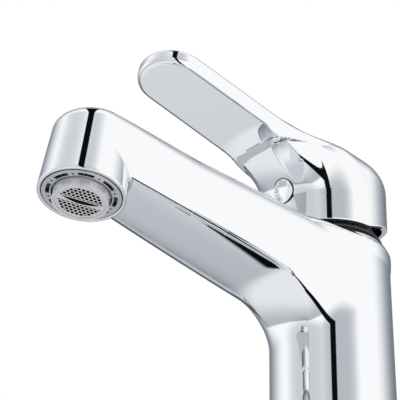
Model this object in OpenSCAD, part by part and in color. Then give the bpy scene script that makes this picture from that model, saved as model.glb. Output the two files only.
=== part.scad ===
// Single-lever basin mixer.  The column stands on the deck at z = 0, the spout points to -Y,
// the lever sits on the column's axis, and the fixing kit hangs below the deck.

/* [Column] */
// Height of the column from the deck to the outer edge of its shoulder
column_h = 110; // [105:1:180]
// Column diameter at the shoulder
column_top_d = 42; // [41.5:0.1:50]
// Column diameter at the deck
column_base_d = 44.2; // [43:0.1:54]
// Radius of the rounded shoulder
shoulder_round = 3.5; // [2:0.1:3.8]
// Radius of the hollow that the hoses come up through
hose_hollow_r = 18; // [15:0.1:18.5]
// Height of the hollow's ceiling, where the inlets are tapped
hose_hollow_h = 46; // [30:1:60]

/* [Spout] */
// Distance from the column's axis to the centre of the outlet
spout_reach = 111.7; // [90:0.5:170]
// Outlet's centre below the shoulder edge
outlet_drop = 16.2; // [13:0.1:18]
// Outer diameter of the nozzle's rim
nozzle_d = 29.3; // [29:0.1:34]
// Lean of the nozzle, which throws the stream forward
nozzle_tilt = 9.6; // [0:0.1:15]
// Height of the nozzle along its own axis
nozzle_h = 28.4; // [26:0.1:34]
// Taper of the nozzle's wall
nozzle_draft = 4.2; // [0:0.1:6]
// Rounding of the nozzle's top edge
nozzle_round = 5; // [2:0.1:6]
// How far the underside panel is recessed behind the rim
panel_recess = 6.6; // [3:0.1:8]
// Underside of the spout below the shoulder edge, at the column
spout_root_drop = 23; // [20:0.5:30]
// Radius of the fillet under the spout
root_fillet_r = 15; // [8:0.5:18]
// Radius of the waterway in the spout
waterway_r = 5.5; // [4:0.1:6]

/* [Cartridge] */
// Outer diameter of the cartridge housing
cartridge_d = 35; // [34:0.1:35.2]
// Height of the pivot pin above the shoulder edge
pin_rise = 4; // [3:0.1:5]
// Depth from the pivot pin to the cartridge seat
cartridge_depth = 26; // [25.5:0.1:30]
// Pin to the centre of the spindle's ball end
spindle_arm = 11.5; // [11:0.1:12]
// Width of the square spindle
spindle_w = 7; // [6:0.1:8]
// Diameter of the pivot pin
pin_d = 4; // [3:0.1:5]
// Radius of the two inlet passages in the cartridge
inlet_passage_r = 3.2; // [2:0.1:3.6]
// Radius of the drillings from the tapped inlets up to the cartridge
inlet_drill_r = 4.2; // [3:0.05:4.3]
// Half the distance between the two inlets
inlet_half_spacing = 7; // [6:0.1:8]
// Wall radius of the tapped inlets, M10 x 1
inlet_tap_r = 4.6; // [4:0.05:5]

/* [Lever] */
// Outer diameter of the lever's cap
cap_d = 41.3; // [40:0.1:46]
// Height of the cap's front rim above the shoulder edge
cap_rise = 6.1; // [5.5:0.1:9]
// Height of the cap's top above the shoulder edge, on the axis
cap_top = 35.2; // [33:0.1:44]
// Wall of the cap's skirt
cap_wall = 2; // [1.5:0.1:2.4]
// Slope of the rim cut that lets the cap tip back
cap_relief = 22; // [18:0.5:26]
// Slope of the paddle
paddle_slope = 12.1; // [5:0.1:18]
// Width of the paddle
paddle_w = 25; // [18:0.1:30]
// Thickness of the paddle
paddle_t = 5.6; // [3:0.1:7]
// Distance from the axis to the centre of the paddle's round end
paddle_reach = 73.5; // [60:0.5:110]
// Underside of the paddle above the shoulder edge, on the axis
paddle_rise = 26.3; // [25:0.1:29]
// How far the neck leans forward where it meets the paddle
neck_lean = 7.85; // [4:0.1:9]
// Height of the index plug above the shoulder edge
plug_rise = 20.3; // [19:0.1:22]
// Diameter of the index plug
plug_d = 8.6; // [7.5:0.1:9]
// Diameter of the grub screw behind the plug
grub_d = 6; // [5:0.1:6]

/* [Aerator] */
// Outer diameter of the aerator's thread, M24 x 1
aerator_thread_d = 24; // [23:0.1:24]
// Diameter of the aerator's flange
aerator_flange_d = 26.6; // [26:0.1:27]
// Radius of the ball that the outlet insert swivels on
ball_r = 9.8; // [9.5:0.05:9.9]
// Outer radius of the insert's lip
insert_lip_r = 9.3; // [9:0.05:9.4]
// How far the insert stands below the flange
insert_drop = 3.2; // [2:0.1:3.6]
// Radius of one hole in the outlet mesh
mesh_hole_r = 0.5; // [0.3:0.05:0.55]
// Distance between the mesh holes' centres
mesh_pitch = 1.5; // [1.4:0.05:2]

/* [Fixing kit] */
// Gap under the body that the deck fills
deck_gap = 22; // [5:1:40]
// Diameter of the fixing stud, M8
stud_d = 8; // [6:0.5:8]
// Distance of the stud behind the column's axis
stud_back = 11; // [10.5:0.1:11.5]
// Length of the stud below the deck's top
stud_below = 58; // [52:1:90]
// Outer diameter of the horseshoe washer and plate
horseshoe_d = 58; // [52:1:66]

/* [Hidden] */

$fn = 64;
hull_fn = 32;              // facets round the parts of a hull
eps = 0.01;                // overshoot of a cut past the face it opens
fit = 0.05;                // radial clearance of a running fit
gap = 0.3;                 // clearance between pieces that move past each other

// column
top_r = column_top_d / 2;
base_r = column_base_d / 2;
ring_h = 1.2;              // visible height of the base ring
ring_lip_h = 4;            // height of the ring's lip inside the column
ring_lip_w = 1.4;
seal_w = 2.4;              // width of the base seal
seal_t = 0.8;              // depth of the seal's groove
shoulder_z = column_h;
body_top_z = shoulder_z + shoulder_round;
mouth_r = 18.2;            // tapped mouth that the retaining nut screws into
inlet_tap_l = 12;
spout_side_w = 14.5;       // half-width of the fillet at its outer end

// cartridge, stacked from the seat up to the pivot pin
pin_z = shoulder_z + pin_rise;
seat_z = pin_z - cartridge_depth;
cart_r = cartridge_d / 2;
chamber_r = cart_r + 0.1;
inlet_y = 1.5;             // inlets just behind the axis, so the outlet window is in front
seal_lift = 0.8;           // what the inlet seals stand proud of the housing
seal_ring_r = 5.6;
seal_ring_h = 2;
housing_z = seat_z + seal_lift;
disc_z = seat_z + 5;       // underside of the fixed disc
disc_t = 3;
disc_r = 15.1;
cavity_r = disc_r + 0.1;
mover_r = 9.8;
mover_t = 2.6;
slide_gap = 0.02;          // film between the two lapped discs
mover_z = disc_z + disc_t + slide_gap;
driver_z = mover_z + mover_t;
driver_h = 5;
ball_end_r = 3.2;
ball_end_z = pin_z - spindle_arm;
carrier_z = driver_z + driver_h + gap;
carrier_flange_h = 2.4;
carrier_flange_r = 14.8;
carrier_neck_r = 12.1;
carrier_top_z = pin_z + 3;
lid_z = carrier_z + carrier_flange_h + 0.1;
lid_h = 2;
nut_z = lid_z + lid_h;
neck_r = 14.4;             // the housing's neck, inside the nut
neck_top_z = body_top_z + 0.8;
nut_top_z = neck_top_z;
nut_r = mouth_r - fit;
oring_t = 1.8;
oring_z = lid_z - 2;
window_w = 12;             // outlet window of the housing
window_h = 9;
cover_r = 18.9;
cover_top_z = pin_z + 7;

// lever
cap_r = cap_d / 2;
cap_in_r = cap_r - cap_wall;
rim_z = shoulder_z + cap_rise;
cap_top_z = shoulder_z + cap_top;
cap_slope = 9;             // the cap's top falls away to the back
cap_round = 7;
cavity_top_z = shoulder_z + paddle_rise + 1.5;
paddle_axis_z = shoulder_z + paddle_rise;
plug_tilt = 10;            // the plug faces forward and a little down
plug_z = shoulder_z + plug_rise;
plug_y = -cap_r - 0.55;
plug_t = 2.2;
hub_w = 13;
hub_z = pin_z + 9;         // the hub stays clear of the carrier as it tips
spindle_top_z = pin_z + 24;
grub_l = 8;

// aerator, on the nozzle's own axis with the outlet plane at zero
thread_r = aerator_thread_d / 2;
flange_r = aerator_flange_d / 2;
flange_t = 1.5;
barrel_h = 10.5;
seat_out_r = 11;
seat_h = 4.4;
ball_h = 4.2;              // ball's centre above the outlet plane
mouth_in_r = 10.05;
slot_in_r = 10.45;
slot_out_r = 11.75;
slot_span = 27;            // angle of one long slot in the flange
slot_count = 8;
slot_depth = 1.2;
dot_r = 0.35;
mesh_r = 8.4;
mesh_t = 1.2;
coin_w = 13;               // crescent-shaped coin slot across the mesh
coin_h = 1.8;
coin_turn = 66;            // how far the insert is turned in its seat

// fixing kit
boss_r = 5.6;
washer_t = 3;
plate_t = 2.5;
fix_nut_h = 12;
fix_nut_d = 14;
horseshoe_lobe_r = 4.8;    // lobes of the horseshoe's open mouth, one round each hose
horseshoe_hole_y = horseshoe_d / 2 - stud_d / 2 - 6.5;
washer_z = -deck_gap - washer_t;
plate_z = washer_z - plate_t;
fix_nut_z = plate_z - fix_nut_h;

// ---- helpers ---------------------------------------------------------------------------

// A ring about the Z axis
module ring(r_out, r_in, h) {
    difference() {
        cylinder(r = r_out, h = h);
        translate([0, 0, -eps]) cylinder(r = r_in, h = h + 2 * eps);
    }
}

// Places its children on the nozzle's axis, with z = 0 at the centre of the outlet
module at_nozzle() {
    translate([0, -spout_reach, shoulder_z - outlet_drop]) rotate([-nozzle_tilt, 0, 0]) children();
}

// Places its children on the paddle's underside, with the paddle along -Y
module at_paddle() {
    translate([0, 0, paddle_axis_z]) rotate([-paddle_slope, 0, 0]) children();
}

// Places its children on the plug's face, with +Z pointing into the lever
module at_plug() {
    translate([0, plug_y, plug_z]) rotate([-90 + plug_tilt, 0, 0]) children();
}

// Copies its children to the two inlets
module at_inlets() {
    for (side = [-1, 1]) translate([side * inlet_half_spacing, inlet_y, 0]) children();
}

// A straight bore between two points of the plane x = 0, given as [y, z]
module bore_between(a, b, r) {
    run = b - a;
    translate([0, a[0], a[1]]) rotate([-atan2(run[0], run[1]), 0, 0]) cylinder(r = r, h = norm(run));
}

// A quarter circle of points, from angle a to angle b
function arc_points(cx, cy, r, a, b, steps = 8) =
    [for (i = [0 : steps]) let (t = a + (b - a) * i / steps) [cx + r * cos(t), cy + r * sin(t)]];

// ---- body ------------------------------------------------------------------------------

module column_shape() {
    rotate_extrude() polygon(concat(
        [[0, ring_h], [base_r, ring_h]],
        arc_points(top_r - shoulder_round, shoulder_z, shoulder_round, 0, 90),
        [[0, body_top_z]]));
}

// Nozzle as a tapered can with a rounded top
module nozzle_shape(from_h = 0, facets = 64) {
    r_top = nozzle_d / 2 - nozzle_h * tan(nozzle_draft);
    r_from = nozzle_d / 2 - from_h * tan(nozzle_draft);
    rotate_extrude($fn = facets) polygon(concat(
        [[0, from_h], [r_from, from_h]],
        arc_points(r_top - nozzle_round, nozzle_h - nozzle_round, nozzle_round, 0, 90, 5),
        [[0, nozzle_h]]));
}

// Outline of the spout where it grows out of the column
module spout_root_outline() {
    crown_r = 12;
    edge_r = 4.5;
    hull() {
        for (side = [-1, 1]) {
            translate([side * (top_r - crown_r - 0.6), -crown_r]) circle(r = crown_r);
            translate([side * (top_r - edge_r - 4), edge_r - spout_root_drop - shoulder_round])
                circle(r = edge_r);
        }
    }
}

module spout_shape() {
    hull() {
        at_nozzle() nozzle_shape(panel_recess, hull_fn);
        translate([0, -10, body_top_z]) rotate([90, 0, 0]) linear_extrude(1)
            spout_root_outline($fn = hull_fn);
    }
}

// Fillet between the spout's underside and the column: a flared collar, kept to the spout's width
module root_fillet() {
    collar_r = top_r + 0.3;
    under_z = shoulder_z - spout_root_drop + 3;
    start_z = under_z - root_fillet_r;
    intersection() {
        rotate_extrude() polygon(concat(
            [[top_r - 5, start_z], [collar_r, start_z]],
            arc_points(collar_r + root_fillet_r, start_z, root_fillet_r, 180, 90),
            [[top_r - 5, under_z]]));
        translate([0, 0, start_z - 1]) linear_extrude(root_fillet_r + 2) polygon([
            [-top_r + 3, 0], [-spout_side_w, -collar_r - root_fillet_r],
            [spout_side_w, -collar_r - root_fillet_r], [top_r - 3, 0]]);
    }
}

module body_casting() {
    outlet = [-spout_reach, shoulder_z - outlet_drop];
    up = [sin(nozzle_tilt), cos(nozzle_tilt)];
    color("gainsboro") difference() {
        union() {
            column_shape();
            spout_shape();
            at_nozzle() nozzle_shape();
            root_fillet();
            translate([0, stud_back, 0]) intersection() {
                translate([0, 0, ring_h]) cylinder(r = boss_r, h = hose_hollow_h);
                translate([0, -stud_back, 0]) cylinder(r = hose_hollow_r + 1, h = hose_hollow_h + ring_h);
            }
        }
        // hollow for the hoses, all round the stud's boss
        difference() {
            translate([0, 0, -eps]) cylinder(r = hose_hollow_r, h = hose_hollow_h + eps);
            translate([0, stud_back, ring_lip_h + 1]) cylinder(r = boss_r, h = hose_hollow_h);
        }
        translate([0, stud_back, 0]) cylinder(d = stud_d, h = hose_hollow_h - 8);
        // inlets
        at_inlets() {
            translate([0, 0, hose_hollow_h - eps]) cylinder(r = inlet_tap_r, h = inlet_tap_l + eps);
            translate([0, 0, hose_hollow_h]) cylinder(r = inlet_drill_r, h = seat_z - hose_hollow_h + eps);
        }
        // cartridge chamber and the nut's mouth
        translate([0, 0, seat_z]) cylinder(r = chamber_r, h = cartridge_depth + 10);
        translate([0, 0, nut_z]) cylinder(r = mouth_r, h = cartridge_depth);
        // waterway from the chamber to the nozzle
        bore_between([-cart_r + 3, seat_z + 9], outlet + (nozzle_h - 10) * up, waterway_r);
        // bore and recess for the aerator
        at_nozzle() {
            translate([0, 0, -eps]) cylinder(r = flange_r + 0.1, h = flange_t + eps);
            cylinder(r = thread_r + fit, h = barrel_h + 1.5);
            cylinder(r = thread_r - 2.5, h = nozzle_h - 6);
        }
        // groove for the base ring's lip
        translate([0, 0, -eps]) cylinder(r = hose_hollow_r + fit, h = ring_h + ring_lip_h + eps);
    }
}

module base_ring() {
    color("dimgray") difference() {
        union() {
            cylinder(r = base_r - 0.3, h = ring_h);
            cylinder(r = hose_hollow_r, h = ring_h + ring_lip_h - 0.5);
        }
        translate([0, 0, -eps]) cylinder(r = hose_hollow_r - ring_lip_w, h = 10);
        translate([0, 0, -eps]) ring(base_r - 1, base_r - 1 - seal_w, seal_t + eps);
    }
}

module base_seal() {
    color("black") ring(base_r - 1, base_r - 1 - seal_w, seal_t);
}

// ---- cartridge -------------------------------------------------------------------------

module cartridge_housing() {
    color("whitesmoke") difference() {
        union() {
            translate([0, 0, housing_z]) cylinder(r = cart_r, h = nut_z - housing_z);
            cylinder_from(neck_r, housing_z, neck_top_z);
        }
        cylinder_from(cavity_r, disc_z, lid_z);
        cylinder_from(carrier_neck_r + fit, disc_z, neck_top_z + eps);
        at_inlets() {
            cylinder_from(inlet_passage_r, housing_z - eps, disc_z + eps);
            cylinder_from(seal_ring_r + fit, housing_z - eps, seat_z + seal_ring_h);
        }
        // outlet window, towards the spout, above the fixed disc
        translate([-window_w / 2, -cart_r - eps, disc_z + disc_t]) cube([window_w, 5, window_h - disc_t]);
        translate([0, 0, oring_z]) ring(cart_r + 1, cart_r - oring_t + 0.1, oring_t);
    }
}

// A cylinder about the column's axis between two heights
module cylinder_from(r, z0, z1) {
    translate([0, 0, z0]) cylinder(r = r, h = z1 - z0);
}

module inlet_seals() {
    color("black") at_inlets() translate([0, 0, seat_z]) ring(seal_ring_r, inlet_passage_r, seal_ring_h);
}

module housing_oring() {
    color("black") translate([0, 0, oring_z + oring_t / 2]) rotate_extrude()
        translate([cart_r - oring_t / 2 + 0.08, 0]) circle(d = oring_t - 0.04, $fn = 32);
}

module fixed_disc() {
    color("ivory") difference() {
        cylinder_from(disc_r, disc_z, disc_z + disc_t);
        at_inlets() cylinder_from(inlet_passage_r - 0.4, disc_z - eps, disc_z + disc_t + eps);
        translate([0, -disc_r + 4.2, disc_z - eps]) cylinder(r = 2.8, h = disc_t + 2 * eps);
    }
}

module moving_disc() {
    color("white") difference() {
        cylinder_from(mover_r, mover_z, mover_z + mover_t);
        // mixing pocket in the lapped face
        translate([0, -2, mover_z - eps]) cylinder(r = 5, h = 1.4);
    }
}

module disc_driver() {
    color("silver") difference() {
        cylinder_from(mover_r, driver_z, driver_z + driver_h);
        translate([-ball_end_r - gap, -ball_end_r - gap, ball_end_z - ball_end_r - gap])
            cube([2 * (ball_end_r + gap), 2 * (ball_end_r + gap), driver_h + 10]);
    }
}

module swivel_carrier() {
    slot_l = 2 * (spindle_w / 2 + spindle_arm * 0.45 + 1);
    color("lightgray") difference() {
        union() {
            cylinder_from(carrier_flange_r, carrier_z, carrier_z + carrier_flange_h);
            cylinder_from(carrier_neck_r, carrier_z, carrier_top_z);
        }
        translate([-spindle_w / 2 - gap, -slot_l / 2, carrier_z - eps])
            cube([spindle_w + 2 * gap, slot_l, cartridge_depth]);
        translate([0, 0, pin_z]) rotate([0, 90, 0])
            cylinder(d = pin_d, h = 2 * carrier_neck_r + 2, center = true);
    }
}

// Toothed ring that limits how far the lever turns towards hot
module limit_ring() {
    teeth = 24;
    color("firebrick") difference() {
        union() {
            translate([0, 0, carrier_top_z]) cylinder(r = carrier_neck_r, h = 1.2);
            for (i = [0 : teeth - 1]) rotate([0, 0, i * 360 / teeth])
                translate([carrier_neck_r - 0.3, -0.5, carrier_top_z]) cube([0.8, 1, 1.2]);
        }
        translate([0, 0, carrier_top_z - eps]) cylinder(r = carrier_neck_r - 1.6, h = 2);
    }
}

module pivot_pin() {
    color("silver") translate([0, 0, pin_z]) rotate([0, 90, 0])
        cylinder(d = pin_d - eps, h = 2 * carrier_neck_r - 0.6, center = true);
}

module spindle() {
    half = spindle_w / 2;
    shaft_z = ball_end_z + 2.2;
    color("goldenrod") difference() {
        union() {
            translate([-half, -half, shaft_z]) cube([spindle_w, spindle_w, spindle_top_z - shaft_z]);
            translate([0, 0, ball_end_z]) sphere(r = ball_end_r);
        }
        translate([0, 0, pin_z]) rotate([0, 90, 0])
            cylinder(d = pin_d + 2 * fit, h = spindle_w + 2, center = true);
    }
}

module retaining_nut() {
    color("darkgoldenrod") difference() {
        cylinder_from(nut_r, nut_z, nut_top_z);
        cylinder_from(neck_r + fit, nut_z - eps, nut_top_z + eps);
        // four notches for the key
        for (i = [0 : 3]) rotate([0, 0, 45 + 90 * i])
            translate([nut_r - 1.6, -2, nut_top_z - 2]) cube([3, 4, 3]);
    }
}

module cover_ring() {
    foot_z = nut_top_z + 0.05;
    color("#26262a") difference() {
        rotate_extrude() polygon([
            [neck_r + 0.3, foot_z], [cover_r, foot_z],
            [cover_r, foot_z + 0.7], [cover_r - 1.3, foot_z + 1.8],
            [15.9, cover_top_z - 0.6], [15.4, cover_top_z], [neck_r + 0.3, cover_top_z]]);
        for (i = [0 : 11]) rotate([0, 0, 30 * i])
            translate([neck_r + 2.2, -0.6, foot_z + 2.6]) cube([4, 1.2, cover_top_z]);
    }
}

// ---- lever -----------------------------------------------------------------------------

// Cap with a rounded top that falls away to the back
module cap_shape() {
    hull() {
        cylinder_from(cap_r, rim_z, cap_top_z - 2 * cap_round, $fn = 48);
        translate([0, 0, cap_top_z]) rotate([-cap_slope, 0, 0]) translate([0, 0, -cap_round])
            rotate_extrude($fn = 48) translate([cap_r - cap_round, 0]) intersection() {
                circle(r = cap_round, $fn = hull_fn);
                square(cap_round);
            }
    }
}

// Neck that leans forward from the cap to the paddle
module neck_shape() {
    hull() {
        cylinder_from(cap_r, plug_z - 6, plug_z - 5, $fn = 48);
        at_paddle() translate([0, -neck_lean, -0.5]) cylinder(r = cap_r - 1.5, h = 1, $fn = 48);
    }
}

// Paddle: a flat bar with a round end
module paddle_shape() {
    run = paddle_reach / cos(paddle_slope);
    half = paddle_w / 2;
    edge = 0.8;
    at_paddle() hull() {
        for (step = [[0, edge], [edge, 0]]) translate([0, 0, step[0]]) {
            translate([0, -run, 0]) cylinder(r = half - step[1], h = paddle_t - 2 * step[0], $fn = 48);
            translate([-half - 1 + step[1], -neck_lean, 0])
                cube([paddle_w + 2 - 2 * step[1], 6, paddle_t - 2 * step[0]]);
        }
    }
}

module lever_handle() {
    color("gainsboro") difference() {
        union() {
            difference() {
                union() {
                    cap_shape();
                    neck_shape();
                    paddle_shape();
                }
                cylinder_from(cap_in_r, rim_z - 1, cavity_top_z);
            }
            // hub that carries the spindle, joined to the front wall for the grub screw
            intersection() {
                union() {
                    translate([-hub_w / 2, -hub_w / 2, hub_z])
                        cube([hub_w, hub_w, cavity_top_z - hub_z + 1]);
                    translate([-hub_w / 2, -cap_in_r - 1, plug_z - plug_d / 2 - 0.5])
                        cube([hub_w, cap_in_r, cavity_top_z - plug_z + plug_d / 2 + 1.5]);
                }
                cylinder_from(cap_in_r + 0.5, hub_z, cavity_top_z + 1);
            }
        }
        // rim cut back to clear the shoulder when the cap tips
        translate([-cap_r - 1, 0, rim_z]) rotate([cap_relief, 0, 0]) translate([0, 0, -20])
            cube([2 * cap_r + 2, 2 * cap_r, 20]);
        // socket for the spindle
        translate([-spindle_w / 2, -spindle_w / 2, hub_z - eps])
            cube([spindle_w, spindle_w, spindle_top_z - hub_z + 0.2]);
        // tapped hole and the plug's recess
        at_plug() {
            translate([0, 0, -3]) cylinder(d = plug_d + 2 * fit, h = plug_t + 3);
            translate([0, 0, -1]) cylinder(d = grub_d + 2 * fit, h = cap_r);
        }
    }
}

module grub_screw() {
    reach = (-plug_y - spindle_w / 2) / cos(plug_tilt);
    color("silver") at_plug() translate([0, 0, reach - grub_l - 0.8]) difference() {
        cylinder(d = grub_d, h = grub_l);
        translate([0, 0, -eps]) cylinder(d = 3.4, h = 3, $fn = 6);
    }
}

module index_plug() {
    color("silver") at_plug() difference() {
        cylinder(d = plug_d, h = plug_t);
        translate([0, 0, -6.8]) sphere(r = 7.4);
    }
}

// ---- aerator ---------------------------------------------------------------------------

module aerator_housing() {
    color("darkgray") at_nozzle() difference() {
        union() {
            cylinder(r = flange_r, h = flange_t);
            cylinder(r = thread_r, h = barrel_h);
        }
        translate([0, 0, -eps]) cylinder(r = mouth_in_r, h = barrel_h + 1);
        translate([0, 0, ball_h - seat_h / 2]) cylinder(r = seat_out_r + fit, h = barrel_h);
        // long slots round the flange, with a dot between each pair
        for (i = [0 : slot_count - 1]) rotate([0, 0, 13 + i * 360 / slot_count]) {
            translate([0, 0, -eps]) rotate([0, 0, -slot_span / 2]) rotate_extrude(angle = slot_span)
                translate([slot_in_r, 0]) square([slot_out_r - slot_in_r, slot_depth]);
            rotate([0, 0, 180 / slot_count]) translate([(slot_in_r + slot_out_r) / 2, 0, -eps])
                cylinder(r = dot_r, h = slot_depth);
        }
    }
}

module aerator_gasket() {
    color("black") at_nozzle() translate([0, 0, barrel_h]) ring(thread_r, thread_r - 2.4, 1.5);
}

// Ring with the spherical seat that the ball turns in
module aerator_seat() {
    color("gray") at_nozzle() difference() {
        translate([0, 0, ball_h - seat_h / 2 + fit]) cylinder(r = seat_out_r, h = seat_h);
        translate([0, 0, ball_h]) sphere(r = ball_r + fit, $fn = 96);
    }
}

module aerator_insert() {
    color("lightgray") at_nozzle() difference() {
        union() {
            intersection() {
                translate([0, 0, ball_h]) sphere(r = ball_r, $fn = 96);
                translate([0, 0, ball_h - 2.6]) cylinder(r = ball_r + 1, h = 6.2);
            }
            translate([0, 0, -insert_drop]) cylinder(r = insert_lip_r, h = insert_drop + ball_h);
        }
        translate([0, 0, -insert_drop - eps]) cylinder(r = mesh_r + fit, h = mesh_t + eps + 0.3);
        translate([0, 0, -insert_drop]) cylinder(r = mesh_r - 0.8, h = 20);
    }
}

// Outlet plate: a hexagonal field of holes with a coin slot across it
module outlet_mesh() {
    rows = floor((mesh_r - 1.2) / (mesh_pitch * sin(60)));
    coin_arc_r = (coin_w * coin_w / 4 + coin_h * coin_h) / (2 * coin_h);
    color("gainsboro") at_nozzle() rotate([0, 0, coin_turn]) translate([0, 0, -insert_drop + 0.3])
        difference() {
            cylinder(r = mesh_r, h = mesh_t);
            for (row = [-rows : rows]) for (i = [-6 : 6]) {
                x = (i + (abs(row) % 2) / 2) * mesh_pitch;
                y = row * mesh_pitch * sin(60);
                if (norm([x, y]) < mesh_r - 1.1 && abs(y) > coin_h / 2 + mesh_hole_r)
                    translate([x, y, -eps]) cylinder(r = mesh_hole_r, h = mesh_t + 2 * eps, $fn = 16);
            }
            intersection() {
                translate([0, coin_h / 2 - coin_arc_r, -eps]) cylinder(r = coin_arc_r, h = mesh_t * 0.6);
                translate([-coin_w / 2, -coin_h / 2, -1]) cube([coin_w, coin_h, mesh_t * 2]);
            }
        }
}

module flow_regulator() {
    color("steelblue") at_nozzle() translate([0, 0, -insert_drop + mesh_t + 1.2]) difference() {
        cylinder(r = mesh_r - 0.85, h = 3);
        translate([0, 0, -eps]) ring(5.4, 4, 4);
    }
}

module inlet_screen() {
    color("silver") at_nozzle() translate([0, 0, ball_h + 1]) difference() {
        cylinder(r = mesh_r - 0.85, h = 1);
        for (i = [0 : 17]) rotate([0, 0, 20 * i]) translate([i % 2 == 0 ? 6 : 3.6, 0, -eps])
            cylinder(r = 0.5, h = 2, $fn = 16);
    }
}

// ---- fixing kit ------------------------------------------------------------------------

module mounting_stud() {
    color("silver") translate([0, stud_back, -stud_below])
        cylinder(d = stud_d - 2 * fit, h = stud_below + hose_hollow_h - 9);
}

// A plate shaped like a horseshoe, open towards the hoses, with a hole for the stud
module horseshoe(thick) {
    difference() {
        cylinder(d = horseshoe_d, h = thick);
        translate([0, horseshoe_hole_y - stud_back, -eps]) {
            at_inlets() cylinder(r = horseshoe_lobe_r, h = thick + 2 * eps);
            translate([-inlet_half_spacing - horseshoe_lobe_r, inlet_y - horseshoe_d, 0])
                cube([2 * (inlet_half_spacing + horseshoe_lobe_r), horseshoe_d, thick + 2 * eps]);
        }
        translate([0, horseshoe_hole_y, -eps]) cylinder(d = stud_d + 0.8, h = thick + 2 * eps);
    }
}

module horseshoe_washer() {
    color("#2a2a2a") translate([0, stud_back - horseshoe_hole_y, washer_z]) horseshoe(washer_t);
}

module horseshoe_plate() {
    color("silver") translate([0, stud_back - horseshoe_hole_y, plate_z]) horseshoe(plate_t);
}

module fixing_nut() {
    color("goldenrod") translate([0, stud_back, fix_nut_z]) difference() {
        cylinder(d = fix_nut_d, h = fix_nut_h, $fn = 6);
        translate([0, 0, -eps]) cylinder(d = stud_d + 2 * fit, h = fix_nut_h + 2 * eps);
    }
}

body_casting();
base_ring();
base_seal();
cartridge_housing();
inlet_seals();
housing_oring();
fixed_disc();
retaining_nut();
cover_ring();
swivel_carrier();
limit_ring();
pivot_pin();
disc_driver();
moving_disc();
spindle();
lever_handle();
grub_screw();
index_plug();
aerator_housing();
aerator_gasket();
aerator_seat();
aerator_insert();
outlet_mesh();
flow_regulator();
inlet_screen();
mounting_stud();
horseshoe_washer();
horseshoe_plate();
fixing_nut();
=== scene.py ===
import math

import bpy
import numpy as np
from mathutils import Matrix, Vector


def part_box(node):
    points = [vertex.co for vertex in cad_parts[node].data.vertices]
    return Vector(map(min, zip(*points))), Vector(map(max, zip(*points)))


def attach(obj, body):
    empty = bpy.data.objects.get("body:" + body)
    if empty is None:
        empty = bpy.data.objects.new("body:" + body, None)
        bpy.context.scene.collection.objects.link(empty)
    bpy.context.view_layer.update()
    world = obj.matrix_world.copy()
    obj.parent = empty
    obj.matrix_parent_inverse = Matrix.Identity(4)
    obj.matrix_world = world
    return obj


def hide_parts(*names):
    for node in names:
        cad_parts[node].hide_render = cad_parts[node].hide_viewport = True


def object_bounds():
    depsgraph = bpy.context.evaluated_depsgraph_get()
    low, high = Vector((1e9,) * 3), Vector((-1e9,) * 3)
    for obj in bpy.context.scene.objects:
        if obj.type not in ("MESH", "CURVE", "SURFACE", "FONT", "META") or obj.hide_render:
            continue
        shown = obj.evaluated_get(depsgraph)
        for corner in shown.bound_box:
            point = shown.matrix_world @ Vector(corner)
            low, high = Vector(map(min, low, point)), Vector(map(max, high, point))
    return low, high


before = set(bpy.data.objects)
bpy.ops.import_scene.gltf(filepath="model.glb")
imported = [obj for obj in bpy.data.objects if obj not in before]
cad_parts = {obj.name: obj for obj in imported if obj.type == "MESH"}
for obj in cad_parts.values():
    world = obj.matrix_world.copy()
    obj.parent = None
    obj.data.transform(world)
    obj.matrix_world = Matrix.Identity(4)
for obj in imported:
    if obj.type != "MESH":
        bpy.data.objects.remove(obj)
cad_low, cad_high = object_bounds()

# ---- Body casting ------------------------------------------------------------------------
# Column, spout and nozzle are one brass casting, ground smooth and plated with bright chrome.
# It is open below for the hoses, and the nozzle is recessed for the aerator.

MM = 0.001
column_top_r, column_base_r = 21.0, 22.1
shoulder_z = 110.0
shoulder_round = 3.5
column_taper = (column_base_r - column_top_r) / shoulder_z
base_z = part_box("base_ring")[0].z / MM + 1.2
hollow_r, hollow_z = 18.0, 46.0
reach, outlet_z = 111.7, shoulder_z - 16.2
lean = math.radians(9.6)
nozzle_r, nozzle_draft = 14.65, math.tan(math.radians(3.3))
root_half, root_taper, root_taper_z = 20.7, 0.24, 101.0
top_slope, top_start_y, top_start_z = 0.0924, -15.0, shoulder_z + 3.5
panel_slope, panel_y, panel_z = 0.147, -90.0, 98.4
lower_edge_r = 6.0
crown_tip_r, crown_root_r, crown_start_y, crown_long = 4.5, 8.5, -112, 45
pocket_deep, pocket_in, pocket_wall, belly = 0.2, 3.4, 2.4, 16000.0
pocket_end_y, pocket_run_out = -24, 14
can_top, can_narrows, can_fillet_r, column_fillet_r = 16.5, 13, 1.2, 17.0


def rounded_corner(a, b, r):
    """Signed distance inside both a and b, where the corner between them is an arc of radius r."""
    inner = np.minimum(-r, np.maximum(a, b))
    return inner + np.hypot(np.maximum(a + r, 0), np.maximum(b + r, 0))


def outward(solid, p, step=0.02):
    """Unit direction in which the distance grows fastest, from differences along the three axes."""
    shifts = np.eye(3) * step
    slope = np.stack([solid(p + s) - solid(p - s) for s in shifts], -1)
    return slope / np.maximum(np.linalg.norm(slope, axis=-1, keepdims=True), 1e-9)


def filleted(first, second, p, r):
    """Joins two solids. The fillet's radius is r where they meet at a right angle and falls to
    nothing where they run on into each other, by a power of one minus their faces' cosine."""
    a, b = first(p), second(p)
    square = 1 - np.sum(outward(first, p) * outward(second, p), -1)
    r = np.clip(r * np.clip(square, 0, None) ** 0.7, 0.02, None)
    outer = np.maximum(r, np.minimum(a, b))
    return outer - np.hypot(np.maximum(r - a, 0), np.maximum(r - b, 0))


def ease(t):
    """Smooth step from 0 to 1."""
    t = np.clip(t, 0, 1)
    return t * t * (3 - 2 * t)


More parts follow.
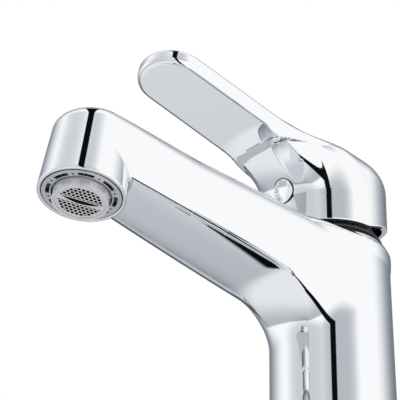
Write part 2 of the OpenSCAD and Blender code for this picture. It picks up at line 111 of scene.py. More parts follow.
def nozzle_frame(p):
    """Height up the nozzle's leaning axis and place behind it, from the outlet's centre."""
    y, z = p[..., 1] + reach, p[..., 2] - outlet_z
    return y * math.sin(lean) + z * math.cos(lean), y * math.cos(lean) - z * math.sin(lean)


def column(p):
    """Round column, slightly wider at the foot, with a rounded shoulder."""
    wall = np.hypot(p[..., 0], p[..., 1]) - column_top_r - column_taper * (shoulder_z - p[..., 2])
    return rounded_corner(wall, p[..., 2] - shoulder_z - shoulder_round, shoulder_round)


def spout_bar(p):
    """Bar whose plan is two circles and the straight lines that touch both: the nozzle's
    circle in front and one as wide as the column behind. Its crown and its panel are planes.
    The panel lies in a shallow pocket that deepens as x^4 / (4 belly), so its middle bellies
    down, and the pocket runs out at the sides and at the column."""
    x, y, z = np.abs(p[..., 0]), p[..., 1], p[..., 2]
    height, behind = nozzle_frame(p)
    tip_r = nozzle_r - height * nozzle_draft
    below = root_taper_z - z
    root_r = root_half - root_taper * (below + np.hypot(below, 3)) / 2
    span = reach * math.cos(lean) - (z - outlet_z) * math.sin(lean)
    flare = (root_r - tip_r) / span
    along = np.sqrt(1 - flare**2)
    place = behind * along + x * flare
    side = x * along - behind * flare - tip_r
    side = np.where(place < 0, np.hypot(x, behind) - tip_r, side)
    side = np.where(place > span * along, np.hypot(x, behind - span) - root_r, side)
    crown = (z - top_start_z - top_slope * (top_start_y - y)) * math.cos(math.atan(top_slope))
    crown_r = crown_tip_r + (crown_root_r - crown_tip_r) * ease((y - crown_start_y) / crown_long)
    pocket = pocket_deep + x**4 / (4 * belly)
    pocket = pocket * ease((-side - pocket_in) / pocket_wall) * ease((pocket_end_y - y) / pocket_run_out)
    panel = (panel_z + pocket - panel_slope * (y - panel_y) - z) * math.cos(math.atan(panel_slope))
    return rounded_corner(rounded_corner(side, crown, crown_r), panel, lower_edge_r)


def nozzle_can(p):
    """Tapered can of the nozzle. It narrows inside the bar, where its top is hidden."""
    height, behind = nozzle_frame(p)
    wall = np.hypot(p[..., 0], behind) - nozzle_r + height * nozzle_draft
    wall = wall + 0.4 * ease((height - can_narrows) / 3)
    return rounded_corner(wall, height - can_top, 1.0)


def spout(p):
    return filleted(spout_bar, nozzle_can, p, can_fillet_r)


def body(p):
    return filleted(column, spout, p, column_fillet_r)


def spokes(solid, base_y, base_z, angle, turns, far=70.0):
    """Skin of a solid as a grid. Each row is a section by a plane that holds the X direction
    and the direction `angle` in the plane x = 0, through (base_y, base_z). From the middle
    of the solid on that line, spokes go out in `turns` directions, closer to X where the
    section is thin, and halving the step 26 times finds where each one leaves the solid."""
    line = np.stack([np.zeros_like(angle), np.cos(angle), np.sin(angle)], -1)
    base = np.stack([np.zeros_like(angle), base_y, base_z], -1)
    steps = np.linspace(0, far, 281)
    inside = solid(base[:, None] + steps[None, :, None] * line[:, None]) < 0
    middle = (inside * steps).sum(1) / inside.sum(1)
    hub = (base + middle[:, None] * line)[:, None]
    flat = np.clip(inside.sum(1) * (far / 280) / 26.0, 0.24, 1)[:, None, None]
    around = np.linspace(0, 2 * np.pi, turns, endpoint=False)[None, :, None]
    aim = np.cos(around) * np.array([1.0, 0, 0]) + flat * np.sin(around) * line[:, None]
    aim = aim / np.linalg.norm(aim, axis=-1, keepdims=True)
    near, out = np.zeros(aim.shape[:2]), np.full(aim.shape[:2], far)
    for _ in range(26):
        half = (near + out) / 2
        is_in = solid(hub + half[..., None] * aim) < 0
        near, out = np.where(is_in, half, near), np.where(is_in, out, half)
    points = hub + near[..., None] * aim
    return points, outward(solid, points)


def turned(profile, turns, centre, right, front, up):
    """Surface of revolution. Each row of the profile is radius, height, and the radial and
    upward parts of its outward direction, about the axis `up` through `centre`."""
    r, h, out_r, out_h = np.array(profile, float).T[..., None, None]
    around = np.linspace(0, 2 * np.pi, turns, endpoint=False)[:, None]
    rim = np.cos(around) * np.array(right) + np.sin(around) * np.array(front)
    facing = out_r * rim + out_h * np.array(up)
    facing = facing / np.linalg.norm(facing, axis=-1, keepdims=True)
    return np.array(centre) + r * rim + h * np.array(up), facing


def skin(name, points, facing=None, closed=True):
    """Mesh from a grid of points in millimetres, round in its second direction. Neighbours
    make four-sided faces, and the first and last rings are drawn in to their middle points.
    The faces are turned outwards by the sign of the volume they enclose."""
    rows, turns = points.shape[:2]
    index = np.arange(rows * turns).reshape(rows, turns)
    a, b = index[:-1], index[1:]
    faces = np.stack([a, np.roll(a, -1, 1), np.roll(b, -1, 1), b], -1).reshape(-1, 4)
    places = points.reshape(-1, 3) * MM
    ends = np.stack([points[0].mean(0), points[-1].mean(0)]) * MM
    places = np.concatenate([places, ends])
    first, last = index[0], index[-1]
    pole = np.full(turns, rows * turns)
    start = np.stack([np.roll(first, -1), first, pole], -1)
    end = np.stack([last, np.roll(last, -1), pole + 1], -1)
    corners = np.concatenate([start, end, faces[:, [0, 1, 2]], faces[:, [0, 2, 3]]])
    p, q, s = (places[corners[:, i]] for i in range(3))
    if np.sum(p * np.cross(q, s)) < 0:
        faces, start, end = faces[:, ::-1], start[:, ::-1], end[:, ::-1]
    mesh = bpy.data.meshes.new(name)
    mesh.from_pydata(places.tolist(), [], faces.tolist() + start.tolist() + end.tolist())
    mesh.polygons.foreach_set("use_smooth", np.ones(len(mesh.polygons), bool))
    mesh.update()
    if facing is not None:
        tips = np.stack([facing[0].mean(0), facing[-1].mean(0)])
        normals = np.concatenate([facing.reshape(-1, 3), tips])
        mesh.normals_split_custom_set_from_vertices(normals.tolist())
    piece = bpy.data.objects.new(name, mesh)
    bpy.context.scene.collection.objects.link(piece)
    return piece


turns = 256
fine = 1.0
level, tilt_up, tilt_front = 0.0, math.radians(83.2), math.radians(180) - lean
under_y, under_z = -36.3, 74.9
notch_y, notch_z = -94.2, 96.0
notch_h = 5.1


def stations(*stretches):
    """Places and angles of the section planes, one stretch after another."""
    parts = []
    for count, y0, z0, a0, y1, z1, a1 in stretches:
        t = np.linspace(0, 1, int(count * fine), endpoint=False)[:, None]
        parts.append(np.array([y0, z0, a0]) * (1 - t) + np.array([y1, z1, a1]) * t)
    return np.concatenate(parts).T


body_skin, body_facing = spokes(body, *stations(
    (34, under_y, 2.4, level, under_y, under_z, level),
    (84, under_y, under_z, level, under_y, under_z, tilt_up),
    (58, under_y, under_z, tilt_up, notch_y, notch_z, tilt_up),
    (92, notch_y, notch_z, tilt_up, notch_y, notch_z, tilt_front),
    (10, notch_y, notch_z, tilt_front, notch_y - (notch_h - 0.4) * math.sin(lean),
     notch_z - (notch_h - 0.4) * math.cos(lean), tilt_front)), turns)

foot_r = column_top_r + column_taper * (shoulder_z - base_z)
foot, foot_facing = turned([
    (0.5, hollow_z, 0, -1), (hollow_r - 0.2, hollow_z, 0, -1), (hollow_r, hollow_z - 0.2, -1, 0),
    (hollow_r, base_z + 0.3, -1, 0), (hollow_r + 0.2, base_z, 0, -1), (foot_r - 0.4, base_z, 0, -1),
    (foot_r - 0.1, base_z + 0.1, 1, -1), (foot_r, base_z + 0.4, 1, 0)],
    turns, (0, 0, 0), (1, 0, 0), (0, 1, 0), (0, 0, 1))
nozzle_up = (0, math.sin(lean), math.cos(lean))
nozzle_front = (0, -math.cos(lean), math.sin(lean))
outlet = (0, -reach, outlet_z)
rim, rim_facing = turned([
    (14.61, 0.34, 1, -0.1), (14.55, 0.14, 1, -0.6), (14.4, 0.02, 0.4, -1), (14.2, 0, 0, -1),
    (13.7, 0, 0, -1), (13.5, 0.03, -0.5, -1), (13.4, 0.15, -1, -0.4), (13.4, 0.3, -1, 0),
    (13.4, 1.5, -1, 0), (13.38, 1.52, 0, -1), (12.07, 1.52, 0, -1), (12.05, 1.55, -1, 0),
    (12.05, 12, -1, 0), (12, 12.05, 0, -1), (9.5, 12.1, 0, -1), (9.5, 22, -1, 0), (0.5, 22.1, 0, -1)],
    turns, outlet, (1, 0, 0), nozzle_front, nozzle_up)
body_piece = skin("body_skin", np.concatenate([foot, body_skin, rim]),
                  np.concatenate([foot_facing, body_facing, rim_facing]))
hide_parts("body_casting")
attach(body_piece, "body")


def surface_grain():
    """Group: fine and coarse noise in the piece's own space, as a roughness between two values
    and a height for a bump."""
    group = bpy.data.node_groups.new("surface_grain", "ShaderNodeTree")
    for label, kind in (("Fine", "INPUT"), ("Coarse", "INPUT"), ("Low", "INPUT"), ("High", "INPUT"),
                        ("Roughness", "OUTPUT"), ("Height", "OUTPUT")):
        group.interface.new_socket(label, in_out=kind, socket_type="NodeSocketFloat")
    nodes, links = group.nodes, group.links
    given, result = nodes.new("NodeGroupInput"), nodes.new("NodeGroupOutput")
    place = nodes.new("ShaderNodeTexCoord")
    small, large = nodes.new("ShaderNodeTexNoise"), nodes.new("ShaderNodeTexNoise")
    small.inputs["Detail"].default_value = 3
    large.inputs["Detail"].default_value = 4
    spread = nodes.new("ShaderNodeMapRange")
    links.new(place.outputs["Object"], small.inputs["Vector"])
    links.new(place.outputs["Object"], large.inputs["Vector"])
    links.new(given.outputs["Fine"], small.inputs["Scale"])
    links.new(given.outputs["Coarse"], large.inputs["Scale"])
    links.new(large.outputs["Fac"], spread.inputs["Value"])
    spread.inputs["From Min"].default_value = 0.3
    spread.inputs["From Max"].default_value = 0.7
    links.new(given.outputs["Low"], spread.inputs["To Min"])
    links.new(given.outputs["High"], spread.inputs["To Max"])
    links.new(spread.outputs["Result"], result.inputs["Roughness"])
    links.new(small.outputs["Fac"], result.inputs["Height"])
    return group


grain = surface_grain()


def finish_material(name, colour, metallic, low, high, fine_scale, coarse_scale, bump, depth=0.0001,
                    second=None, patch=30.0, **sockets):
    """Principled surface whose roughness drifts between low and high over patches of the coarse
    noise, with a bump of the fine noise, and whose colour drifts towards a second tone."""
    material = bpy.data.materials.new(name)
    material.use_nodes = True
    nodes, links = material.node_tree.nodes, material.node_tree.links
    shader = nodes["Principled BSDF"]
    shader.inputs["Base Color"].default_value = (*colour, 1)
    shader.inputs["Metallic"].default_value = metallic
    for socket, value in sockets.items():
        shader.inputs[socket.replace("_", " ")].default_value = value
    texture = nodes.new("ShaderNodeGroup")
    texture.node_tree = grain
    texture.inputs["Fine"].default_value = fine_scale
    texture.inputs["Coarse"].default_value = coarse_scale
    texture.inputs["Low"].default_value = low
    texture.inputs["High"].default_value = high
    links.new(texture.outputs["Roughness"], shader.inputs["Roughness"])
    relief = nodes.new("ShaderNodeBump")
    relief.inputs["Strength"].default_value = bump
    relief.inputs["Distance"].default_value = depth
    links.new(texture.outputs["Height"], relief.inputs["Height"])
    links.new(relief.outputs["Normal"], shader.inputs["Normal"])
    if second is not None:
        place, tone = nodes.new("ShaderNodeTexCoord"), nodes.new("ShaderNodeTexNoise")
        blend = nodes.new("ShaderNodeMix")
        blend.data_type = "RGBA"
        tone.inputs["Scale"].default_value = patch
        links.new(place.outputs["Object"], tone.inputs["Vector"])
        links.new(tone.outputs["Fac"], blend.inputs["Factor"])
        blend.inputs["A"].default_value = (*colour, 1)
        blend.inputs["B"].default_value = (*second, 1)
        links.new(blend.outputs["Result"], shader.inputs["Base Color"])
    return material


def wear(finish, *nodes):
    """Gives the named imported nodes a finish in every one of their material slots."""
    for node in nodes:
        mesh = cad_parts[node].data
        mesh.materials.clear()
        mesh.materials.append(finish)


chrome = finish_material("bright_chrome", (0.95, 0.955, 0.965), 1, 0.015, 0.05, 700, 45, 0.02,
                         depth=0.00001, second=(0.93, 0.94, 0.955), patch=25)
body_piece.data.materials.append(chrome)

# ---- Base ring and seal --------------------------------------------------------------------
# A moulded ring snaps into the foot of the column and carries a soft rubber seal, which
# keeps water out from under the mixer.

ring_plastic = finish_material("ring_plastic", (0.055, 0.058, 0.062), 0, 0.34, 0.5, 2600, 90, 0.25,
                               second=(0.075, 0.078, 0.082), patch=120)
rubber = finish_material("seal_rubber", (0.02, 0.02, 0.021), 0, 0.55, 0.78, 3500, 120, 0.5,
                         second=(0.038, 0.037, 0.036), patch=200)
wear(ring_plastic, "base_ring")
wear(rubber, "base_seal", "inlet_seals", "housing_oring", "aerator_gasket", "horseshoe_washer")

# ---- Cartridge -----------------------------------------------------------------------------
# Two lapped ceramic discs in an acetal housing mix the water. The spindle tips on a steel
# pin in the swivel, a brass nut holds the housing down, and a dark ring covers the nut.

acetal = finish_material("white_acetal", (0.78, 0.78, 0.75), 0, 0.32, 0.45, 1800, 60, 0.15,
                         second=(0.72, 0.71, 0.67), patch=90, Subsurface_Weight=0.05)
carrier_acetal = finish_material("grey_acetal", (0.36, 0.37, 0.38), 0, 0.35, 0.5, 1800, 70, 0.2,
                                 second=(0.31, 0.32, 0.33), patch=100)
stop_red = finish_material("red_stop", (0.55, 0.035, 0.03), 0, 0.3, 0.45, 2200, 90, 0.2,
                           second=(0.47, 0.03, 0.028), patch=150)
ceramic = finish_material("lapped_ceramic", (0.82, 0.8, 0.74), 0, 0.12, 0.22, 5200, 240, 0.06,
                          second=(0.77, 0.74, 0.68), patch=700, Coat_Weight=0.3)
brass = finish_material("raw_brass", (0.72, 0.5, 0.2), 1, 0.2, 0.38, 3000, 160, 0.18,
                        second=(0.6, 0.4, 0.16), patch=80)
steel = finish_material("stainless_steel", (0.6, 0.6, 0.59), 1, 0.2, 0.34, 3600, 200, 0.15,
                        second=(0.53, 0.53, 0.53), patch=110)
cover_plastic = finish_material("cover_plastic", (0.03, 0.031, 0.034), 0, 0.4, 0.55, 2400, 90, 0.3,
                                second=(0.042, 0.043, 0.047), patch=130)
wear(acetal, "cartridge_housing")
wear(ceramic, "fixed_disc", "moving_disc")
wear(carrier_acetal, "swivel_carrier", "disc_driver")
wear(stop_red, "limit_ring")
wear(steel, "pivot_pin", "grub_screw", "mounting_stud", "horseshoe_plate")
# Painted shade: a dark copy of the brass for the retaining nut, which sits in the shade under the lever.
shaded_brass = finish_material("shaded_brass", (0.11, 0.085, 0.05), 1, 0.4, 0.6, 3000, 160, 0.2,
                             second=(0.07, 0.055, 0.035), patch=80)
wear(brass, "spindle", "fixing_nut")
wear(shaded_brass, "retaining_nut")
wear(cover_plastic, "cover_ring")

# ---- Lever ---------------------------------------------------------------------------------
# A hollow zinc casting, chromed: a round cap whose front leans forward into a flat paddle.
# The back of its rim is cut away, so that it clears the shoulder when it is lifted.

cap_r, cap_in_r = 20.65, 18.65
rim_z = shoulder_z + 6.1
rim_cut = math.tan(math.radians(22))
cavity_z = shoulder_z + 27.8
cap_top_z, cap_fall = shoulder_z + 35.0, 0.14
paddle_fall, paddle_z = 0.2144, shoulder_z + 26.3
paddle_t, paddle_half = 5.6, 12.54
tip_y, tip_long = -73.5, 11.6
neck_start, neck_rise, neck_out = shoulder_z + 14.0, 18.5, 7.85
lever_fillet_r = 16.0


def cap_and_neck(p):
    """Upright round cap. Above its skirt the front half moves forward with the square of the
    height, so the circle becomes a stadium, and a plane that falls to the back closes it."""
    x, y, z = p[..., 0], p[..., 1], p[..., 2]
    forward = neck_out * np.clip((z - neck_start) / neck_rise, 0, 1.0) ** 2
    off = y - np.clip(y, -forward, 0)
    wall = np.hypot(x, off) - cap_r
    roof = (z - cap_top_z + cap_fall * y) * math.cos(math.atan(cap_fall))
    return rounded_corner(wall, roof, 7.2)


def paddle(p):
    """Flat bar on a slope, a little wider at its root, with a round end and broken edges."""
    x, y, z = np.abs(p[..., 0]), p[..., 1], p[..., 2]
    slope = math.cos(math.atan(paddle_fall))
    under = (paddle_z - paddle_fall * y - z) * slope
    foot_y = y + under * math.sin(math.atan(paddle_fall))
    half = paddle_half + 0.009 * np.clip(foot_y - tip_y, 0, 70)
    side = x - half
    past = (tip_y - foot_y) / tip_long * paddle_half
    side = np.where(past > 0, np.hypot(x, past) - paddle_half, side)
    side = np.maximum(side, y - 2)
    return rounded_corner(rounded_corner(side, under, 2.0), -under - paddle_t, 1.4)


def lever(p):
    """Cap and paddle. Their fillet dies out towards the middle of the cap's sides."""
    return filleted(cap_and_neck, paddle, p, lever_fillet_r * ease((-2 - p[..., 1]) / 10))


corner_y, corner_z = -31.6, shoulder_z + 29.6
paddle_up = math.pi / 2 - math.atan(paddle_fall)
skirt_top = rim_z + 12
tip_base = tip_y + ((corner_z - paddle_z + paddle_fall * corner_y)
                    * math.cos(paddle_up) * math.sin(paddle_up))
cap_walk = stations(
    (14, -40.0, skirt_top, level, -40.0, corner_z, level),
    (120, corner_y, corner_z, level, corner_y, corner_z, paddle_up),
    (46, corner_y, corner_z, paddle_up, tip_base, corner_z + paddle_fall * (corner_y - tip_base), paddle_up))
sweep = np.linspace(0, 0.497, int(40 * fine)) * math.pi
tip_walk = np.stack([tip_base - tip_long * np.sin(sweep),
                     corner_z + paddle_fall * (corner_y - tip_base + tip_long * np.sin(sweep)),
                     np.full(len(sweep), paddle_up)])
lever_skin, lever_facing = spokes(lever, *np.concatenate([cap_walk, tip_walk], 1), turns)


def skirt_ring(r, level_z, out_r, out_z):
    """A ring of the cap's skirt, `level_z` above the rim: the rim is level in front and climbs
    to the back, so heights are measured from it and even out towards the top of the skirt."""
    around = np.linspace(0, 2 * np.pi, turns, endpoint=False)
    x, y = r * np.cos(around), r * np.sin(around)
    climb = rim_cut * (y + np.hypot(y, 0.6)) / 2
    share = np.clip(level_z / (skirt_top - rim_z), 0, 1)
    z = rim_z + climb * (1 - share) + level_z
    facing = np.stack([np.cos(around) * out_r, np.sin(around) * out_r, np.full(turns, out_z)], -1)
    facing = facing / np.linalg.norm(facing, axis=-1, keepdims=True)
    return np.stack([x, y, z], -1), facing


skirt = [
    skirt_ring(0.5, cavity_z - rim_z, 0, -1), skirt_ring(cap_in_r - 0.3, cavity_z - rim_z, 0, -1),
    skirt_ring(cap_in_r, cavity_z - rim_z - 0.3, -1, 0), skirt_ring(cap_in_r, 12, -1, 0),
    skirt_ring(cap_in_r, 6, -1, 0), skirt_ring(cap_in_r, 0.2, -1, 0),
    skirt_ring(cap_in_r + 0.15, 0, 0, -1), skirt_ring(cap_r - 0.4, 0, 0, -1),
    skirt_ring(cap_r - 0.12, 0.08, 1, -1), skirt_ring(cap_r, 0.4, 1, 0)]
skirt += [skirt_ring(cap_r, h, 1, 0) for h in np.linspace(1, 11.5, 10)]
lever_piece = skin("lever_skin", np.concatenate([np.stack([s[0] for s in skirt]), lever_skin]),
                   np.concatenate([np.stack([s[1] for s in skirt]), lever_facing]))
lever_piece.data.materials.append(chrome)
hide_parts("lever_handle")
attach(lever_piece, "lever")

# ---- Index plug ----------------------------------------------------------------------------
# A chromed plastic button pressed into the front of the cap. It is dished, and it hides
# the grub screw that holds the lever on its spindle.

plug_r, plug_out, plug_z = 4.3, 22.1, shoulder_z + 20.3
plug_tilt = math.radians(14)
plug_in = (0, math.cos(plug_tilt), math.sin(plug_tilt))
plug_up = (0, -math.sin(plug_tilt), math.cos(plug_tilt))
dish_turn = np.linspace(0, 1, 14)
dish = [(3.7 * (1 - t) + 0.02, 0.95 * (1 - (1 - t) ** 2), -0.5 * (1 - t), -1) for t in dish_turn]
plug_points, plug_facing = turned(
    [(0.3, 2.2, 0, 1), (plug_r - 0.2, 2.2, 0.3, 1), (plug_r, 2.0, 1, 0.3), (plug_r, 0.35, 1, 0),
     (plug_r - 0.1, 0.1, 1, -1), (plug_r - 0.3, 0, 0, -1), (3.85, 0, 0, -1)] + dish,
    64, (0, -plug_out, plug_z), (1, 0, 0), plug_up, plug_in)
plug_piece = skin("plug_button", plug_points, plug_facing)
plug_piece.data.materials.append(chrome)
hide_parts("index_plug")
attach(plug_piece, "lever")


def gap_shade_line(radius, thick, count=96, sides=8):
    """Thin dark ring of painted shade in the gap round the plug, following the cap's surface: a circle about
    the plug's axis, each point moved along the axis until it meets the lever, with a round section."""
    around = np.linspace(0, 2 * np.pi, count, endpoint=False)[:, None]
    spoke = np.cos(around) * np.array([1.0, 0, 0]) + np.sin(around) * np.array(plug_up)
    start = np.array([0, -plug_out, plug_z]) + radius * spoke - 6 * np.array(plug_in)
    near, out = np.zeros((count, 1)), np.full((count, 1), 9.0)
    for _ in range(24):
        half = (near + out) / 2
        outside = lever(start + half * np.array(plug_in))[:, None] > 0
        near, out = np.where(outside, half, near), np.where(outside, out, half)
    path = start + near * np.array(plug_in)
    side = np.linspace(0, 2 * np.pi, sides, endpoint=False)
    return (path[:, None] + thick * np.cos(side)[None, :, None] * spoke[:, None]
            + thick * np.sin(side)[None, :, None] * np.array(plug_in)).transpose(1, 0, 2)


def hoop(name, grid):
    """Mesh of a tube that closes on itself in both directions of its grid."""
    sides, count = grid.shape[:2]
    index = np.arange(sides * count).reshape(sides, count)
    up, on = np.roll(index, -1, 0), np.roll(index, -1, 1)
    both = np.roll(up, -1, 1)
    faces = np.stack([index, on, both, up], -1).reshape(-1, 4)
    mesh = bpy.data.meshes.new(name)
    mesh.from_pydata((grid.reshape(-1, 3) * MM).tolist(), [], faces.tolist())
    mesh.polygons.foreach_set("use_smooth", np.ones(len(mesh.polygons), bool))
    piece = bpy.data.objects.new(name, mesh)
    bpy.context.scene.collection.objects.link(piece)
    return piece


# Painted shade: a tube in the near-black seal rubber darkens the narrow gap between the plug and the cap.
plug_gap_shade = hoop("plug_gap_shade", gap_shade_line(4.46, 0.16))
plug_gap_shade.data.materials.append(rubber)
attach(plug_gap_shade, "lever")

# ---- Aerator -------------------------------------------------------------------------------
# A threaded housing with vents round its flange holds a ball insert that swivels.
# The insert carries a moulded outlet screen with a crescent slot for a coin.

# Painted shade: heights up the nozzle's axis past which the vents and the coin slot are darkened, the flange
# radius outside which its edge is darkened, the width of the dark ring at each hole's mouth and the colour
# of the shade.
vent_level, slot_level, flange_edge_r = 74.3, 71.25, 13.0
mesh_pitch, mesh_turn, mesh_field_r, mesh_gap_half = 1.5, math.radians(66), 7.2, 1.2
hole_shade_r, painted_shade_colour = 0.56, (0.008, 0.009, 0.011, 1)


def math_node(nodes, links, operation, *values):
    """One Math node, fed by numbers or by other nodes' outputs."""
    node = nodes.new("ShaderNodeMath")
    node.operation = operation
    for i, value in enumerate(values):
        if isinstance(value, (int, float)):
            node.inputs[i].default_value = value
        else:
            links.new(value, node.inputs[i])
    return node.outputs[0]


def smooth_step(nodes, links, value, start, end, low=0.0, high=1.0):
    """One Map Range node that goes smoothly from low to high between start and end."""
    node = nodes.new("ShaderNodeMapRange")
    node.interpolation_type = "SMOOTHSTEP"
    links.new(value, node.inputs["Value"])
    for label, amount in (("From Min", start), ("From Max", end), ("To Min", low), ("To Max", high)):
        node.inputs[label].default_value = amount
    return node.outputs["Result"]


def painted_recess_shade(material, deep, ring_r=None, pitch=None):
    """Paints shade into the colour: darkens what lies deeper up the nozzle's axis than `deep`, walls that
    stand along the axis and what lies outside `ring_r`, and widens the mouths of a hexagonal field of holes
    with painted shade."""
    nodes, links = material.node_tree.nodes, material.node_tree.links
    shader, place = nodes["Principled BSDF"], nodes.new("ShaderNodeTexCoord")

    def along(output, direction, start=0.0):
        """Length of a vector along a direction, less a start, in mm for places."""
        dot = nodes.new("ShaderNodeVectorMath")
        dot.operation = "DOT_PRODUCT"
        dot.inputs[1].default_value = direction
        links.new(place.outputs[output], dot.inputs[0])
        scaled = math_node(nodes, links, "DIVIDE", dot.outputs["Value"], MM if output == "Object" else 1)
        return math_node(nodes, links, "SUBTRACT", scaled, start)

    def step(value, *limits):
        return smooth_step(nodes, links, value, *limits)

    def distance(a, b):
        """Square root of a squared and b squared."""
        squares = (math_node(nodes, links, "MULTIPLY", each, each) for each in (a, b))
        return math_node(nodes, links, "SQRT", math_node(nodes, links, "ADD", *squares))

    axis = (0, math.sin(lean), math.cos(lean))
    dark = step(along("Object", axis), deep, deep + 0.3)
    upright = math_node(nodes, links, "ABSOLUTE", along("Normal", axis))
    if ring_r is None:
        dark = math_node(nodes, links, "MAXIMUM", dark, step(upright, 0.4, 0.8, 1.0, 0.0))
    behind_axis = (0, math.cos(lean), -math.sin(lean))
    centre = -reach * math.cos(lean) - outlet_z * math.sin(lean)
    side, back = along("Object", (1, 0, 0)), along("Object", behind_axis, centre)
    far = distance(side, back)
    if ring_r is not None:
        dark = math_node(nodes, links, "MAXIMUM", dark, step(far, ring_r, ring_r + 0.1))
    if pitch is not None:
        row = pitch * math.sin(math.radians(60))
        c, t = math.cos(mesh_turn), math.sin(mesh_turn)
        on = along("Object", (c, t * behind_axis[1], t * behind_axis[2]), t * centre)
        up = along("Object", (-t, c * behind_axis[1], c * behind_axis[2]), c * centre)
        near_on = math_node(nodes, links, "PINGPONG", on, pitch / 2)
        near_up = math_node(nodes, links, "PINGPONG", up, row)
        gap = math_node(nodes, links, "MINIMUM", distance(near_on, near_up),
                        distance(math_node(nodes, links, "SUBTRACT", pitch / 2, near_on),
                                 math_node(nodes, links, "SUBTRACT", row, near_up)))
        off_slot = math_node(nodes, links, "ABSOLUTE", up)
        field = math_node(nodes, links, "MULTIPLY", step(far, mesh_field_r, mesh_field_r + 0.2, 1.0, 0.0),
                          step(off_slot, mesh_gap_half, mesh_gap_half + 0.1))
        mouth = math_node(nodes, links, "MULTIPLY", step(gap, hole_shade_r, hole_shade_r + 0.08, 1.0, 0.0),
                          field)
        dark = math_node(nodes, links, "MAXIMUM", dark, mouth)
    # The painted shade is mixed into the base colour, and the metal is taken out where it is shaded.
    blend = nodes.new("ShaderNodeMix")
    blend.data_type = "RGBA"
    links.new(dark, blend.inputs["Factor"])
    links.new(shader.inputs["Base Color"].links[0].from_socket, blend.inputs["A"])
    blend.inputs["B"].default_value = painted_shade_colour
    links.new(blend.outputs["Result"], shader.inputs["Base Color"])
    links.new(step(dark, 0.0, 1.0, shader.inputs["Metallic"].default_value, 0.0), shader.inputs["Metallic"])
    return material


# Painted shade on the flange: dark inside its vents and in a thin line round its outer edge.
flange_metal = painted_recess_shade(finish_material(
    "aerator_flange", (0.76, 0.77, 0.79), 1, 0.22, 0.32, 2800, 150, 0.1,
    second=(0.7, 0.71, 0.73), patch=160), vent_level, ring_r=flange_edge_r)
insert_plastic = finish_material("insert_plastic", (0.8, 0.81, 0.83), 0.5, 0.3, 0.42, 2600, 120, 0.08,
                                 second=(0.78, 0.79, 0.81), patch=160)
seat_plastic = finish_material("seat_plastic", (0.3, 0.31, 0.32), 0, 0.35, 0.5, 2400, 120, 0.2,
                               second=(0.26, 0.27, 0.28), patch=160)
# Painted shade on the outlet screen: dark in the coin slot, on walls along the axis and in a ring round each
# hole's mouth.
outlet_plastic = painted_recess_shade(finish_material(
    "outlet_plastic", (0.7, 0.71, 0.71), 0.2, 0.28, 0.4, 3200, 150, 0.1,
    second=(0.62, 0.63, 0.63), patch=220), slot_level, pitch=mesh_pitch)
screen_plastic = finish_material("screen_plastic", (0.1, 0.1, 0.1), 0, 0.4, 0.5, 3200, 150, 0.12,
                                 second=(0.07, 0.07, 0.07), patch=220)
regulator_blue = finish_material("regulator_blue", (0.02, 0.022, 0.026), 0, 0.4, 0.55, 2200, 100, 0.2,
                                 second=(0.03, 0.032, 0.036), patch=200)
wear(flange_metal, "aerator_housing")
wear(insert_plastic, "aerator_insert")
wear(seat_plastic, "aerator_seat")
wear(outlet_plastic, "outlet_mesh")
wear(screen_plastic, "inlet_screen")
wear(regulator_blue, "flow_regulator")

# ---- Floor, light and camera -----------------------------------------------------------------
# A pale sheet lies under the mixer. Seen from below or from afar it isn't there, and metal
# sees the studio's lower half instead, which is cooler and darker on the far side.

floor_z = cad_low.z - 0.0005
floor_half = 2.0
floor_mesh = bpy.data.meshes.new("floor")
floor_mesh.from_pydata([(-floor_half, -floor_half, floor_z), (floor_half, -floor_half, floor_z),
                        (floor_half, floor_half, floor_z), (-floor_half, floor_half, floor_z)], [],
                       [(0, 1, 2, 3)])
floor = bpy.data.objects.new("floor", floor_mesh)
bpy.context.scene.collection.objects.link(floor)


def floor_material():
    """Matt white sheet that fades out with distance for the camera and shows only its top."""
    material = bpy.data.materials.new("floor_sheet")
    material.use_nodes = True
    nodes, links = material.node_tree.nodes, material.node_tree.links
    nodes.clear()
    path, faces = nodes.new("ShaderNodeLightPath"), nodes.new("ShaderNodeNewGeometry")
    matt, clear = nodes.new("ShaderNodeBsdfDiffuse"), nodes.new("ShaderNodeBsdfTransparent")
    blend, out = nodes.new("ShaderNodeMixShader"), nodes.new("ShaderNodeOutputMaterial")
    place, length = nodes.new("ShaderNodeTexCoord"), nodes.new("ShaderNodeVectorMath")
    length.operation = "LENGTH"
    links.new(place.outputs["Object"], length.inputs[0])
    matt.inputs["Color"].default_value = (0.95, 0.95, 0.95, 1)
    fade = smooth_step(nodes, links, length.outputs["Value"], 0.16, 0.5)
    hidden = math_node(nodes, links, "MAXIMUM", fade, faces.outputs["Backfacing"])
    hidden = math_node(nodes, links, "MULTIPLY", hidden, path.outputs["Is Camera Ray"])
    links.new(hidden, blend.inputs["Fac"])
    links.new(matt.outputs["BSDF"], blend.inputs[1])
    links.new(clear.outputs["BSDF"], blend.inputs[2])
    links.new(blend.outputs["Shader"], out.inputs["Surface"])
    return material


floor_mesh.materials.append(floor_material())
floor.visible_glossy = False


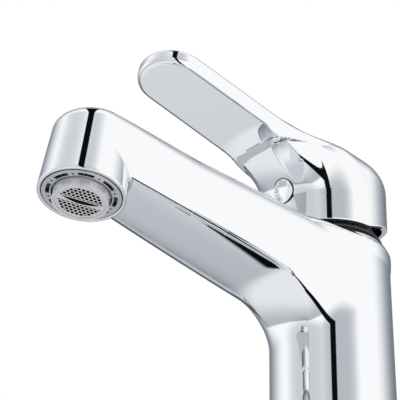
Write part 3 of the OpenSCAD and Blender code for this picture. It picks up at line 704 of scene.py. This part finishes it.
def studio_world():
    """White all round for the camera. Metal sees a white tent with a soft grey side at its back,
    greyer below, a thin black seam over and under it and grey folds beside the seam. Everything
    else is lit evenly."""
    world = bpy.data.worlds.new("studio")
    bpy.context.scene.world = world
    world.use_nodes = True
    nodes, links = world.node_tree.nodes, world.node_tree.links
    nodes.clear()
    place = nodes.new("ShaderNodeTexCoord").outputs["Generated"]

    def cosine(direction):
        """Cosine between the ray and a direction."""
        dot = nodes.new("ShaderNodeVectorMath")
        dot.operation = "DOT_PRODUCT"
        links.new(place, dot.inputs[0])
        dot.inputs[1].default_value = Vector(direction).normalized()
        return dot.outputs["Value"]

    def ramp(value, *limits):
        return smooth_step(nodes, links, value, *limits)

    back_side = ramp(cosine((-0.60, 0.72, 0.30)), 0.15, 1.0, 0.0, 0.78)
    fold = ramp(cosine((0.80, -0.42, 0.5)), 0.84, 0.995, 0.0, 0.46)
    left_fold = ramp(cosine((-0.026, -0.85, 0.5)), 0.72, 0.98, 0.0, 0.34)
    beyond, below = cosine((0.669, 0.743, 0)), cosine((0, 0, -1))
    underneath = math_node(nodes, links, "MULTIPLY", ramp(below, 0.0, 0.06, 0.0, 1.0),
                           ramp(below, 0.12, 0.68, 0.46, 0.15))
    underneath = math_node(nodes, links, "MULTIPLY", underneath, ramp(beyond, -0.1, 0.0, 1.0, 0.0))
    across = math_node(nodes, links, "ABSOLUTE", beyond)
    across = math_node(nodes, links, "SUBTRACT", across, ramp(below, -1.0, -0.5, 0.05, 0.0))
    seam = ramp(across, 0.070, 0.086, 1.0, 0.0)
    in_front = ramp(cosine((0.743, -0.669, 0.0)), -0.35, -0.2, 0.0, 1.0)
    open_part = math_node(nodes, links, "MAXIMUM", in_front, ramp(below, 0.56, 0.64, 0.0, 1.0))
    seam = math_node(nodes, links, "MULTIPLY", seam, open_part)
    light = math_node(nodes, links, "SUBTRACT", 1.0, back_side)
    light = math_node(nodes, links, "SUBTRACT", light, fold)
    light = math_node(nodes, links, "SUBTRACT", light, left_fold)
    light = math_node(nodes, links, "SUBTRACT", light, underneath)
    light = math_node(nodes, links, "MULTIPLY", light, math_node(nodes, links, "SUBTRACT", 1.0, seam))
    light = math_node(nodes, links, "MAXIMUM", light, 0.004)
    tint = nodes.new("ShaderNodeMix")
    tint.data_type = "RGBA"
    tint.inputs["A"].default_value = (0.80, 0.90, 1.05, 1)
    tint.inputs["B"].default_value = (1, 1, 1, 1)
    links.new(light, tint.inputs["Factor"])
    metal, plain, white = (nodes.new("ShaderNodeBackground") for _ in range(3))
    links.new(tint.outputs["Result"], metal.inputs["Color"])
    links.new(light, metal.inputs["Strength"])
    plain.inputs["Strength"].default_value = 0.8
    plain.inputs["Color"].default_value = (1, 1, 1, 1)
    white.inputs["Color"].default_value = (1, 1, 1, 1)
    path = nodes.new("ShaderNodeLightPath")
    first, second = nodes.new("ShaderNodeMixShader"), nodes.new("ShaderNodeMixShader")
    links.new(path.outputs["Is Glossy Ray"], first.inputs["Fac"])
    links.new(plain.outputs["Background"], first.inputs[1])
    links.new(metal.outputs["Background"], first.inputs[2])
    seen = math_node(nodes, links, "MAXIMUM", path.outputs["Is Camera Ray"],
                     path.outputs["Is Transmission Ray"])
    links.new(seen, second.inputs["Fac"])
    links.new(first.outputs["Shader"], second.inputs[1])
    links.new(white.outputs["Background"], second.inputs[2])
    out = nodes.new("ShaderNodeOutputWorld")
    links.new(second.outputs["Shader"], out.inputs["Surface"])


studio_world()


def look(thing, place, target):
    """Puts a lamp or the camera at a place and aims it at a target."""
    thing.location = place
    thing.rotation_euler = (Vector(target) - Vector(place)).to_track_quat("-Z", "Y").to_euler()


lamp_data = bpy.data.lights.new("soft_box", "AREA")
lamp_data.shape, lamp_data.size, lamp_data.energy = "SQUARE", 0.9, 4.0
lamp = bpy.data.objects.new("soft_box", lamp_data)
bpy.context.scene.collection.objects.link(lamp)
look(lamp, (0.7, -0.5, 1.1), (0, -0.04, 0.05))
lamp.visible_glossy = False

camera_data = bpy.data.cameras.new("camera")
camera_data.sensor_width = 36
camera_data.lens = 232.4
camera = bpy.data.objects.new("camera", camera_data)
bpy.context.scene.collection.objects.link(camera)
look(camera, (0.5566, -0.5617, -0.3227), (-0.021975, -0.040806, 0.128917))
camera_data.clip_start, camera_data.clip_end = 0.05, 20
bpy.context.scene.camera = camera
bpy.context.scene.view_settings.view_transform = "Standard"
